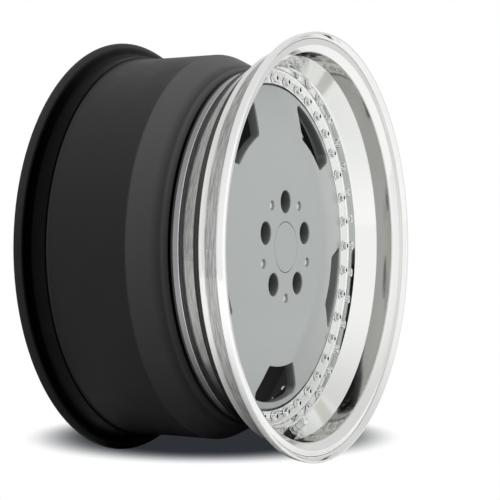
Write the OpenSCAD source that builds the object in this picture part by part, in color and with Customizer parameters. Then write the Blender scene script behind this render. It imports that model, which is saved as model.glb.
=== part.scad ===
// Split road wheel: a polished stepped lip and a black barrel clamp a silver centre disc
// between them with a ring of twelve-point bolts. Millimetres, +Z up, the wheel's axis along Y,
// the outboard face towards -Y, the origin at the middle of the wheel.
// Every module draws in wheel space (radius r, axial place u, outboard +Z) and is then laid over.

/* [Rim] */
// Radius over both rim flanges.
rim_r = 261; // [258:0.5:264]
// Overall width over both rim flanges.
rim_w = 278; // [274:1:286]
// Depth of the bead seats under the rim flanges.
seat_drop = 17.4; // [16.5:0.1:18.5]
// Depth of the barrel's drum under its bead seat.
drum_drop = 3.6; // [2.6:0.2:5.6]
// Depth of the well, where the three flanges meet, under the rim flanges.
well_drop = 43.2; // [42.5:0.1:44]
// Thickness of the barrel's wall.
wall = 5.2; // [4.5:0.1:6]

/* [Clamped flanges] */
// Axial place of the joint between barrel and disc.
joint_u = 47.8; // [46:0.2:49]
// Thickness of the disc's clamped flange.
disc_flange = 9.7; // [9:0.1:10.5]
// Thickness of the lip's bolt flange.
lip_flange = 8; // [7:0.5:9]
// Thickness of the barrel's bolt flange.
barrel_flange = 7.8; // [7:0.1:9]
// Radial width of the lip's bolt flange.
ring_width = 15.8; // [15.4:0.1:16.6]

/* [Centre disc] */
// Axial place of the flat face round the hub.
face_u = 83; // [81:0.5:85]
// Radius where the flat face starts to bend into the dome.
flat_r = 71; // [70.5:0.5:74]
// How far the dome falls from the flat face to its edge.
dome_drop = 17.6; // [16:0.2:18.6]
// Gap between the disc's register and the lip's opening.
register_gap = 2; // [1.5:0.1:2.5]
// Thickness of the disc at the windows.
web = 12; // [10:0.5:14]

/* [Windows] */
// Width of the rim of metal outside a window.
window_rim = 8.5; // [8:0.1:10]
// Height of a window from its inner to its outer edge.
window_h = 44.5; // [42:0.5:46]
// Half angle of a window at its inner edge.
window_in_a = 12.5; // [11:0.5:14]
// Half angle of a window at its outer edge.
window_out_a = 18.3; // [17.5:0.1:19]
// Outer corner radius of a window.
window_c = 8; // [6:0.5:9]
// Inner corner radius of a window.
window_ci = 5; // [3:0.5:6]

/* [Hub] */
// Diameter of the hub's bore.
bore_d = 66.6; // [63:0.1:70]
// Pitch circle diameter of the lug holes.
pcd = 112; // [110:0.5:114]
// Diameter of a lug bolt's clearance hole.
lug_d = 14.5; // [14:0.1:15]
// Diameter of the lug's pocket in the face.
pocket_d = 28.2; // [27:0.2:29]
// Axial place of the mounting face.
pad_u = 35; // [33:0.5:37]
// Diameter of the centre cap.
cap_d = 62; // [60:0.5:63]

/* [Assembly bolts] */
// How far the ring of assembly bolts lies inside the well.
bolt_inset = 8.8; // [8.4:0.1:9.2]
// Number of assembly bolts.
bolt_count = 40; // [36:1:44]
// Diameter of a bolt's flange.
head_d = 13.4; // [12.4:0.2:13.6]
// Height of a bolt's head above its flange.
head_h = 5; // [4:0.5:6]

/* [Valve] */
// Angle of the valve round the wheel.
valve_a = -94.5; // [-103.5:9:-85.5]
// Length of the valve above the lip.
valve_l = 33; // [30:1:36]

/* [Hidden] */
$fn = 96;
half = rim_w / 2;
seat_r = rim_r - seat_drop;
drum_r = seat_r - drum_drop;
well_r = rim_r - well_drop;
ring_in = well_r - ring_width;
ring_back = ring_in - 3;
register_r = ring_in - register_gap;
bolt_ring = well_r - bolt_inset;
window_out = register_r - window_rim;
window_in = window_out - window_h;
cone_in_r = well_r + 5.8;
cone_out_r = seat_r - 9;
cone_in_u = half - 59.2;
cone_out_u = half - 36;
lip_u = joint_u + disc_flange;
plane_u = lip_u + lip_flange;
back_u = joint_u - barrel_flange;
seal_s = 1.2;
shank_r = 3.5;
hole_r = 3.75;
washer_r = 6.1;
washer_t = 1.4;
nut_r = 5.77;
nut_h = 6.5;
flange_h = 1.6;
head_r = 5.2;
recess_r = 1.9;
recess_h = 1.6;
lug_seat_u = pad_u + 13;
lug_cone_r = 10.4;
lug_cone_h = 3.2;
dimple_ring = 63;
dimple_r = 6.8;
dimple_up = 2.7;
dome_edge = register_r - 1.4;
dome_steps = 32;
pad_r = 76;
pad_pocket_r = 11;
pad_pocket_h = 12;
side_d = polar(window_out, window_out_a) - polar(window_in, window_in_a);
side_t = side_d[1] / side_d[0];
side_a = atan(side_t);
side_y = window_in * sin(window_in_a) - window_in * cos(window_in_a) * side_t;
out_c = corner(window_c, window_out - window_c);
in_c = corner(window_ci, window_in + window_ci);
out_a = atan(out_c[1] / out_c[0]);
in_a = atan(in_c[1] / in_c[0]);
cap_r = cap_d / 2;
cap_t = 3.8;
cap_gap = 0.45;
cap_edge = 0.8;
cap_bore_r = 27.5;
leg_r = 27.2;
leg_wall = 2.2;
leg_h = 16;
clip_r = 1;
valve_tilt = 46;
valve_u = cone_in_u + 15.6;
valve_r = cone_in_r + (cone_out_r - cone_in_r) * 15.6 / (cone_out_u - cone_in_u);
valve_seat = 1.2;
valve_back = 6.2;
gasket_t = 1.4;
gasket_r = 6.8;
grommet_h = 10.2;
grommet_r = 7;
spot_r = 8.4;
spot_h = 12;
stem_r = 2.6;
thread_r = 3.9;
core_r = 1.5;

function arc(cx, cy, r, a, b, n) = [for (i = [0:n]) [cx + r * cos(a + (b - a) * i / n), cy + r * sin(a + (b - a) * i / n)]];
// The points of an arc without its two ends.
function inner_arc(c, r, a, b, n) = [for (i = [1:n - 1]) c + polar(r, a + (b - a) * i / n)];
// Where a corner's circle of radius c sits: beside the window's side, on radius r about the hub.
function corner(c, r) = [corner_x(side_y - c / cos(side_a), r), side_y - c / cos(side_a) + corner_x(side_y - c / cos(side_a), r) * side_t];
function corner_x(y, r) = (sqrt(y * y * side_t * side_t - (1 + side_t * side_t) * (y * y - r * r)) - y * side_t) / (1 + side_t * side_t);
function dome_point(r) = [r, dome(r)];
// Height of the disc's face at radius r.
function dome(r) = face_u - dome_drop * pow(max(0, r - flat_r) / (register_r - flat_r), 2);
function polar(r, a) = [r * cos(a), r * sin(a)];

// Wheel space laid over so that the outboard face looks towards -Y.
module laid() {
  rotate([90, 0, 0]) children();
}

// A ring of children, one every 360 / n degrees from angle a.
module ring(n, r, a) {
  for (i = [0:n - 1]) rotate([0, 0, a + i * 360 / n]) translate([r, 0, 0]) children();
}

// Wheel space to valve space: its Z points out of the lip, and Z = 0 lies on the lip's cone.
module valve_space() {
  rotate([0, 0, valve_a]) translate([valve_r, 0, valve_u]) rotate([0, valve_tilt - 90, 0]) children();
}

// Section of the lip, radius by axial place: outside from the joint to the flange, then inside.
module lip_section() {
  polygon(concat(
    [[ring_in, lip_u], [well_r - seal_s, lip_u], [well_r, lip_u + seal_s]],
    [[well_r + 4.2, lip_u + 3.8], [seat_r - 12.7, half - 55.9], [seat_r - 7.4, half - 47.4], [seat_r - 2.4, half - 43.9]],
    arc(seat_r - 3.6, half - 40.8, 1.8, 20, -40, 3),
    [[seat_r - 1.2, half - 37]],
    arc(seat_r + 6.5, half - 18, 6.5, 180, 90, 8),
    arc(rim_r - 2.6, half - 10.4, 1.1, -90, 0, 3),
    arc(rim_r - 1.6, half - 1.6, 1.6, 0, 90, 4),
    [[rim_r - 3.2, half - 1.2], [rim_r - 5, half - 4.2], [rim_r - 5.4, half - 4.8]],
    arc(rim_r - 8.4, half - 2.2, 4, -40, -90, 3),
    arc(rim_r - 16, half - 14.4, 8.2, 90, 176, 8),
    [[cone_out_r, cone_out_u], [cone_in_r, cone_in_u], [well_r + 4.2, cone_in_u - 2.4]],
    arc(well_r - 1, plane_u + 4, 4, 0, -90, 5),
    [[ring_in + 0.8, plane_u], [ring_in, plane_u - 0.8]]
  ));
}

// Section of the barrel, radius by axial place.
module barrel_section() {
  polygon(concat(
    [[ring_back, back_u], [ring_back, joint_u], [well_r - seal_s, joint_u], [well_r, joint_u - seal_s]],
    [[well_r + 1, joint_u - 4.6], [well_r + 2.6, joint_u - 8.6]],
    arc(drum_r - 2.5, 0.4, 2.5, 29, 0, 3),
    [[drum_r - 0.8, -63], [drum_r - 0.8, 34 - half]],
    arc(seat_r - 3, 29.8 - half, 1.8, 45, -20, 3),
    [[seat_r, 16.6 - half]],
    arc(seat_r + 7, 15.2 - half, 6.8, 180, 260, 7),
    [[rim_r - 6, 7 - half], [rim_r - 1.6, 4.2 - half]],
    arc(rim_r - 1.3, 1.3 - half, 1.3, 40, -90, 4),
    [[rim_r - 4, 0.2 - half], [rim_r - 9, 1.4 - half]],
    arc(seat_r + 2, 9 - half, 7.2, 270, 200, 5),
    [[seat_r - 6.2, 26 - half], [drum_r - wall - 0.8, 34 - half], [drum_r - wall - 0.8, -2]],
    [[well_r + 2.6 - wall, joint_u - 10.4], [well_r - 2.2, back_u]]
  ));
}

// Section of the disc: flat round the hub, then domed out to its register.
module disc_section() {
  leg_u = face_u - cap_t - leg_h - 3;
  polygon(concat(
    [[bore_d / 2, pad_u + 1], [bore_d / 2 + 1, pad_u], [pad_r, pad_u], [pad_r + 3, pad_u + 3]],
    [[pad_r + 6, pad_u + 26], [pad_r + 10, face_u - web - 2.6], [pad_r + 25, dome(pad_r + 25) - web]],
    [[window_in, dome(window_in) - web], [window_out, dome(window_out) - web]],
    [[ring_in - 6, lip_u - 2], [ring_in - 4, joint_u], [well_r - seal_s, joint_u]],
    [[well_r, joint_u + seal_s], [well_r, lip_u - seal_s], [well_r - seal_s, lip_u]],
    [[register_r, lip_u], [register_r, dome(register_r) - 1.2]],
    [for (i = [0:dome_steps]) dome_point(dome_edge - (dome_edge - flat_r) * i / dome_steps)],
    [[cap_r + cap_gap + cap_edge, face_u], [cap_r + cap_gap, face_u - cap_edge], [cap_r + cap_gap, face_u - cap_t]],
    [[cap_bore_r, face_u - cap_t], [cap_bore_r, face_u - cap_t - 5], [cap_bore_r + 1.6, face_u - cap_t - 6]],
    [[cap_bore_r + 1.6, leg_u], [bore_d / 2, leg_u]]
  ));
}

// Outline of one window on the +X side: two arcs about the hub, straight sides and round corners.
module window_plan() {
  polygon(concat(
    arc(0, 0, window_out, -out_a, out_a, 10),
    inner_arc(out_c, window_c, out_a, side_a + 90, 5),
    [out_c + polar(window_c, side_a + 90), in_c + polar(window_ci, side_a + 90)],
    inner_arc(in_c, window_ci, side_a + 90, in_a + 180, 5),
    arc(0, 0, window_in, in_a, -in_a, 8),
    inner_arc([in_c[0], -in_c[1]], window_ci, -in_a - 180, -side_a - 90, 5),
    [[in_c[0], -in_c[1]] + polar(window_ci, -side_a - 90), [out_c[0], -out_c[1]] + polar(window_c, -side_a - 90)],
    inner_arc([out_c[0], -out_c[1]], window_c, -side_a - 90, -out_a, 5)
  ));
}

// Clearance holes for the assembly bolts.
module bolt_holes() {
  ring(bolt_count, bolt_ring, 0) translate([0, 0, back_u - 1]) cylinder(r = hole_r, h = plane_u - back_u + 2, $fn = 24);
}

module outer_lip() {
  color([0.86, 0.87, 0.88]) laid() difference() {
    rotate_extrude($fn = 180) lip_section();
    bolt_holes();
    valve_space() translate([0, 0, -valve_seat]) cylinder(r = spot_r, h = spot_h, $fn = 32);
    valve_space() translate([0, 0, -spot_h * 2]) cylinder(r = thread_r + 0.25, h = spot_h * 3, $fn = 32);
    valve_space() translate([0, 0, -valve_back - spot_h]) cylinder(r = spot_r, h = spot_h, $fn = 32);
  }
}

module inner_barrel() {
  color([0.06, 0.06, 0.065]) laid() difference() {
    rotate_extrude($fn = 180) barrel_section();
    bolt_holes();
  }
}

module centre_disc() {
  color([0.66, 0.69, 0.68]) laid() difference() {
    rotate_extrude($fn = 180) disc_section();
    bolt_holes();
    for (i = [0:4]) rotate([0, 0, -18 + 72 * i]) translate([0, 0, joint_u - 10]) linear_extrude(height = face_u) window_plan();
    ring(5, pcd / 2, 18) lug_bore();
    ring(5, dimple_ring, 54) translate([0, 0, face_u + dimple_up]) sphere(r = dimple_r, $fn = 48);
    ring(5, pcd / 2 + 2, 54) translate([0, 0, pad_u - 1]) cylinder(r = pad_pocket_r, h = pad_pocket_h + 1, $fn = 48);
  }
}

// One lug bore: pocket, coned seat and clearance hole.
module lug_bore() {
  translate([0, 0, lug_seat_u]) cylinder(r = pocket_d / 2, h = face_u, $fn = 48);
  translate([0, 0, face_u - 0.8]) cylinder(r1 = pocket_d / 2, r2 = pocket_d / 2 + 1, h = 1, $fn = 48);
  translate([0, 0, lug_seat_u - lug_cone_h]) cylinder(r1 = lug_d / 2, r2 = lug_cone_r, h = lug_cone_h + 0.01, $fn = 48);
  translate([0, 0, pad_u - 1]) cylinder(r = lug_d / 2, h = lug_seat_u - pad_u, $fn = 48);
}

// A ring of sealant in the groove between two flange edges, at axial place u.
module groove_seal(u) {
  laid() rotate_extrude($fn = 180) polygon([[well_r - seal_s, u], [well_r, u - seal_s], [well_r + 0.1, u], [well_r, u + seal_s]]);
}

module lip_joint_seal() {
  color([0.05, 0.05, 0.05]) groove_seal(lip_u);
}

module barrel_joint_seal() {
  color([0.05, 0.05, 0.05]) groove_seal(joint_u);
}

// One flanged bolt with a twelve-point head, seated on z = 0.
module bolt() {
  grip = plane_u - back_u + washer_t + nut_h + 2;
  cylinder(r = head_d / 2, h = flange_h * 0.55, $fn = 32);
  translate([0, 0, flange_h * 0.55]) cylinder(r1 = head_d / 2, r2 = head_r + 0.3, h = flange_h * 0.45, $fn = 32);
  difference() {
    intersection() {
      union() {
        translate([0, 0, flange_h - 0.2]) cylinder(r = head_r, h = head_h + 0.2, $fn = 6);
        translate([0, 0, flange_h - 0.2]) rotate([0, 0, 30]) cylinder(r = head_r, h = head_h + 0.2, $fn = 6);
      }
      translate([0, 0, flange_h - 1]) cylinder(r1 = head_r + head_h * 0.9, r2 = head_r - 0.9, h = head_h + 1, $fn = 32);
    }
    translate([0, 0, flange_h + head_h - recess_h]) cylinder(r1 = recess_r * 0.6, r2 = recess_r, h = recess_h + 0.1, $fn = 24);
  }
  translate([0, 0, -grip]) cylinder(r = shank_r, h = grip + 0.2, $fn = 24);
}

module assembly_bolts() {
  color([0.9, 0.9, 0.92]) laid() ring(bolt_count, bolt_ring, 0) translate([0, 0, plane_u]) bolt();
}

module assembly_washers() {
  color([0.75, 0.76, 0.78]) laid() ring(bolt_count, bolt_ring, 0) translate([0, 0, back_u - washer_t]) difference() {
    cylinder(r = washer_r, h = washer_t, $fn = 32);
    translate([0, 0, -1]) cylinder(r = hole_r, h = washer_t + 2, $fn = 24);
  }
}

module assembly_nuts() {
  color([0.8, 0.81, 0.83]) laid() ring(bolt_count, bolt_ring, 0) translate([0, 0, back_u - washer_t - nut_h]) difference() {
    cylinder(r = nut_r, h = nut_h, $fn = 6);
    translate([0, 0, -1]) cylinder(r = shank_r + 0.02, h = nut_h + 2, $fn = 24);
  }
}

// The cap's disc with a ring of six clip legs behind it.
module centre_cap() {
  color([0.66, 0.69, 0.68]) laid() {
    translate([0, 0, face_u - cap_t]) rotate_extrude() polygon([[0, 0], [cap_r, 0], [cap_r, cap_t - cap_edge], [cap_r - cap_edge, cap_t], [0, cap_t]]);
    difference() {
      translate([0, 0, face_u - cap_t - leg_h]) rotate_extrude() polygon([
        [leg_r - leg_wall, 0], [leg_r + 0.2, 0], [leg_r + 1.3, 3], [leg_r + 1.3, 5], [leg_r, 6.4],
        [leg_r, leg_h], [leg_r - leg_wall, leg_h]
      ]);
      for (i = [0:5]) rotate([0, 0, 60 * i]) translate([0, -3, face_u - cap_t - leg_h - 1]) cube([40, 6, leg_h - 1]);
      translate([0, 0, face_u - cap_t - leg_h + 4]) rotate_extrude() translate([leg_r - leg_wall, 0]) circle(r = clip_r, $fn = 24);
    }
  }
}

// The wire ring that springs the cap's legs outwards.
module cap_clip_ring() {
  color([0.7, 0.7, 0.72]) laid() translate([0, 0, face_u - cap_t - leg_h + 4]) rotate_extrude() translate([leg_r - leg_wall, 0]) circle(r = clip_r, $fn = 24);
}

module valve_body() {
  color([0.85, 0.85, 0.87]) laid() valve_space() difference() {
    union() {
      translate([0, 0, -valve_back - gasket_t - 3]) cylinder(r = gasket_r, h = 3, $fn = 32);
      translate([0, 0, -valve_back - gasket_t - 0.2]) cylinder(r = thread_r, h = valve_back + gasket_t + grommet_h + 5.2, $fn = 32);
      translate([0, 0, grommet_h + 5]) cylinder(r = stem_r, h = valve_l - grommet_h - 9, $fn = 32);
    }
    translate([0, 0, -valve_back - gasket_t - 4]) cylinder(r = core_r, h = 60, $fn = 24);
  }
}

// Tyre-side rubber ring under the valve's head.
module valve_gasket() {
  color([0.04, 0.04, 0.04]) laid() valve_space() translate([0, 0, -valve_back - gasket_t]) difference() {
    cylinder(r = gasket_r, h = gasket_t, $fn = 32);
    translate([0, 0, -1]) cylinder(r = thread_r, h = gasket_t + 2, $fn = 32);
  }
}

// Ribbed black collar between the lip and the nut.
module valve_grommet() {
  color([0.03, 0.03, 0.03]) laid() valve_space() translate([0, 0, -valve_seat]) rotate_extrude($fn = 48) polygon([
    [thread_r, 0], [grommet_r - 0.4, 0], [grommet_r, 0.4], [grommet_r, 3], [grommet_r - 0.7, 3.5], [grommet_r, 4],
    [grommet_r, 6.4], [grommet_r - 0.7, 6.9], [grommet_r, 7.4], [grommet_r, 9.8],
    [grommet_r - 0.4, grommet_h], [thread_r, grommet_h]
  ]);
}

module valve_nut() {
  color([0.9, 0.9, 0.92]) laid() valve_space() translate([0, 0, grommet_h - valve_seat]) difference() {
    union() {
      cylinder(r = 6.4, h = 1.2, $fn = 32);
      translate([0, 0, 1.2]) cylinder(r = 6, h = 1.8, $fn = 6);
    }
    translate([0, 0, -1]) cylinder(r = thread_r, h = 5, $fn = 32);
  }
}

// Valve core: a brass barrel and its pin inside the stem.
module valve_core() {
  color([0.75, 0.6, 0.3]) laid() valve_space() {
    translate([0, 0, valve_l - 22]) cylinder(r = core_r, h = 16, $fn = 24);
    translate([0, 0, valve_l - 6.2]) cylinder(r = 0.6, h = 1.6, $fn = 16);
  }
}

// Long chrome cap over the stem, flared at its end.
module valve_cap() {
  color([0.9, 0.9, 0.92]) laid() valve_space() translate([0, 0, grommet_h + 5]) difference() {
    rotate_extrude($fn = 48) polygon([
      [0, 0], [4, 0], [4, valve_l - grommet_h - 9], [4.6, valve_l - grommet_h - 8],
      [4.6, valve_l - grommet_h - 6.2], [3.8, valve_l - grommet_h - 5], [0, valve_l - grommet_h - 5]
    ]);
    translate([0, 0, -1]) cylinder(r = stem_r, h = valve_l - grommet_h - 8, $fn = 32);
    translate([0, 0, valve_l - grommet_h - 10]) cylinder(r = 1.2, h = 3, $fn = 24);
  }
}

outer_lip();
inner_barrel();
centre_disc();
lip_joint_seal();
barrel_joint_seal();
assembly_bolts();
assembly_washers();
assembly_nuts();
centre_cap();
cap_clip_ring();
valve_body();
valve_gasket();
valve_grommet();
valve_nut();
valve_core();
valve_cap();
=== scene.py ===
"""Looks of a split road wheel: polished stepped lip, black barrel, silver disc and chrome bolts.

Wheel space is (radius r, axial place u, outboard positive), in metres. The row frame has the
wheel's axis along Y, so a point at angle t is (r cos t, -u, r sin t).
"""

import logging
import math
from dataclasses import dataclass
from enum import Enum, auto
from typing import Any, Sequence

import bmesh
import bpy
from mathutils import Matrix, Vector

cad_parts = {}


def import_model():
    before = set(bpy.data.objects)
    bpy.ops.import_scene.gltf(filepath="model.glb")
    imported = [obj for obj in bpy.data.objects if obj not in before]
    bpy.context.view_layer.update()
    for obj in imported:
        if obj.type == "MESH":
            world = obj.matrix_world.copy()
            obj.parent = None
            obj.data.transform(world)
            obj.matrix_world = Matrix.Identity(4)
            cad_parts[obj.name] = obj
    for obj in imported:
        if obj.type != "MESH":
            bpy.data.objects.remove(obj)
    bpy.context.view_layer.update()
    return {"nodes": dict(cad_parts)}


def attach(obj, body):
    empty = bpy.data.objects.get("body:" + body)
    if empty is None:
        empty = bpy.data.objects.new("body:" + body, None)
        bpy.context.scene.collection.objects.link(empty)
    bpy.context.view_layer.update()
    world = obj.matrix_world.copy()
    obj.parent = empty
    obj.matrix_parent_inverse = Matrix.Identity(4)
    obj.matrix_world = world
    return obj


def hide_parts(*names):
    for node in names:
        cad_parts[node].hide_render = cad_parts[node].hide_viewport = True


LOG = logging.getLogger("wheel")
MM = 0.001
MERGE_MM = 0.002
STRAIGHT_DEG = 179
ROUND_SHARE = 0.48
NOISE_SPAN = {"From_Min": 0.3, "From_Max": 0.7}
EDGE_SAMPLES = 6
CAVITY_SAMPLES = 12
COLOURS = {"data_type": "RGBA"}
SOFT = {"interpolation_type": "SMOOTHSTEP"}
WHITE = (1.0, 1.0, 1.0, 1.0)
FIFTH = 2 * math.pi / 5
Zones = tuple[tuple[float, str, float], ...]
Corners = Sequence[tuple[float, float, float]]


class Ring(Enum):
    """How the points of one ring round a bolt's axis lie."""

    ROUND = auto()
    TWELVE_POINT = auto()


def linear(hex_colour: str) -> tuple[float, float, float, float]:
    """Turns an sRGB hex colour to the linear one that a shader takes.

    Args:
        hex_colour: six digits, with or without the leading mark.

    Returns:
        Red, green, blue and an alpha of 1.
    """
    digits = hex_colour.lstrip("#")
    parts = [int(digits[i:i + 2], 16) / 255 for i in (0, 2, 4)]
    lin = [p / 12.92 if p <= 0.04045 else ((p + 0.055) / 1.055) ** 2.4 for p in parts]
    return lin[0], lin[1], lin[2], 1.0


def feed(tree: bpy.types.NodeTree, node: bpy.types.Node, **links: Any) -> None:
    """Gives a node's inputs their values and links.

    Args:
        tree: the node's tree.
        node: the node that takes them.
        links: input names, with underscores for spaces, or in0, in1 by place, each given a value,
            the output socket that feeds it, or the node whose first output in use feeds it.
    """
    for key, value in links.items():
        if key.startswith("in") and key[2:].isdigit():
            socket = node.inputs[int(key[2:])]
        else:
            socket = next(s for s in node.inputs if s.enabled and s.name == key.replace("_", " "))
        if isinstance(value, bpy.types.Node):
            value = next(s for s in value.outputs if s.enabled)
        if isinstance(value, bpy.types.NodeSocket):
            tree.links.new(value, socket)
        else:
            socket.default_value = value


def add_node(tree: bpy.types.NodeTree, kind: str, settings: dict[str, Any] | None = None,
             **links: Any) -> bpy.types.Node:
    """Adds a node to a tree, with its settings, its values and its links.

    Args:
        tree: the shader or geometry tree.
        kind: the node's type name.
        settings: properties of the node itself.
        links: what its inputs are given, as in feed.

    Returns:
        The new node.
    """
    node = tree.nodes.new(kind)
    for key, value in (settings or {}).items():
        setattr(node, key, value)
    feed(tree, node, **links)
    return node


@dataclass(frozen=True)
class Finish:
    """A surface finish: what the shared shader takes, with a pattern added by each kind."""

    name: str
    colour: str
    metallic: float = 0.0
    roughness: float = 0.5
    coat: float = 0.0
    coat_roughness: float = 0.1

    def material(self) -> bpy.types.Material:
        """Builds the material, with the pattern of this kind of finish."""
        material = bpy.data.materials.new(self.name)
        material.use_nodes = True
        tree = material.node_tree
        tree.nodes.clear()
        shader = add_node(tree, "ShaderNodeBsdfPrincipled", Base_Color=linear(self.colour),
                          Metallic=self.metallic, Roughness=self.roughness,
                          Coat_Weight=self.coat, Coat_Roughness=self.coat_roughness)
        self.pattern(tree, shader)
        add_node(tree, "ShaderNodeOutputMaterial", Surface=shader)
        material.diffuse_color = linear(self.colour)
        return material

    def pattern(self, tree: bpy.types.NodeTree, shader: bpy.types.Node) -> None:
        """Adds this finish's own pattern to the shader.

        Args:
            tree: the material's tree.
            shader: the node that the pattern feeds.
        """

    def grain(self, tree: bpy.types.NodeTree, size_mm: float) -> bpy.types.Node:
        """Adds a noise whose grain has a real size.

        Args:
            tree: the material's tree.
            size_mm: width of one grain.

        Returns:
            The noise.
        """
        place = add_node(tree, "ShaderNodeTexCoord")
        return add_node(tree, "ShaderNodeTexNoise", Vector=place.outputs["Object"],
                        Scale=1 / (size_mm * MM))


def shade_in_hollows(tree: bpy.types.NodeTree, reach_mm: float, closed: float, open_: float) -> bpy.types.Node:
    """Adds a value that is 1 in tight hollows and 0 where the surface is open, for painting shade there.

    Args:
        tree: the material's tree.
        reach_mm: how near another surface must be to count.
        closed: open share at which the value reaches 1.
        open_: open share at which it reaches 0.

    Returns:
        The node that gives the value.
    """
    # Painted shade: ambient occlusion measures how shut in a point is.
    near = add_node(tree, "ShaderNodeAmbientOcclusion", {"samples": CAVITY_SAMPLES},
                    Distance=reach_mm * MM)
    return add_node(tree, "ShaderNodeMapRange", SOFT, Value=near.outputs["AO"], From_Min=closed,
                    From_Max=open_, To_Min=1.0, To_Max=0.0)


def zone_ramp(tree: bpy.types.NodeTree, along: bpy.types.NodeSocket, zones: Zones) -> bpy.types.Node:
    """Adds a ramp of colours along the wheel's axis.

    Args:
        tree: the material's tree.
        along: the place along Y, in metres.
        zones: axial place in millimetres, hex colour and share, in rising order.

    Returns:
        The ramp, whose colour is the zone's and whose alpha is the share.
    """
    first, last = zones[0][0], zones[-1][0]
    run = add_node(tree, "ShaderNodeMapRange", Value=along, From_Min=-first * MM, From_Max=-last * MM)
    ramp = add_node(tree, "ShaderNodeValToRGB", Fac=run)
    stops = ramp.color_ramp.elements
    for i, (u, colour, share) in enumerate(zones):
        place = (u - first) / (last - first)
        # A new ramp already has its first two stops.
        stop = stops[i] if i < 2 else stops.new(place)
        stop.position = place
        stop.color = (*linear(colour)[:3], share)
    return ramp


@dataclass(frozen=True)
class Place:
    """Where a shaded point lies: in the row frame, along Y, off the wheel's axis and round it."""

    at: bpy.types.NodeSocket
    y: bpy.types.NodeSocket
    radius: bpy.types.Node
    turn: bpy.types.Node

    @classmethod
    def of(cls, tree: bpy.types.NodeTree) -> "Place":
        """Adds the nodes that give a point's place.

        Args:
            tree: the material's tree.

        Returns:
            The place.
        """
        at = add_node(tree, "ShaderNodeTexCoord").outputs["Object"]
        x, y, z = add_node(tree, "ShaderNodeSeparateXYZ", Vector=at).outputs
        flat = add_node(tree, "ShaderNodeCombineXYZ", X=x, Y=z)
        radius = add_node(tree, "ShaderNodeVectorMath", {"operation": "LENGTH"}, in0=flat)
        turn = add_node(tree, "ShaderNodeMath", {"operation": "ARCTAN2"}, in0=z, in1=x)
        return cls(at, y, radius, turn)

    def facing_out(self, tree: bpy.types.NodeTree, low: float, high: float) -> bpy.types.Node:
        """Adds a value that is 1 where the surface looks away from the wheel's axis.

        Args:
            tree: the material's tree.
            low: cosine to the radial direction at which the value leaves 0.
            high: cosine at which it reaches 1.

        Returns:
            The node that gives the value.
        """
        flat = add_node(tree, "ShaderNodeVectorMath", {"operation": "MULTIPLY"}, in0=self.at,
                        in1=(1.0, 0.0, 1.0))
        radial = add_node(tree, "ShaderNodeVectorMath", {"operation": "NORMALIZE"}, in0=flat)
        shape = add_node(tree, "ShaderNodeNewGeometry")
        out = add_node(tree, "ShaderNodeVectorMath", {"operation": "DOT_PRODUCT"},
                       in0=shape.outputs["Normal"], in1=radial)
        return add_node(tree, "ShaderNodeMapRange", Value=out, From_Min=low, From_Max=high)


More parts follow.
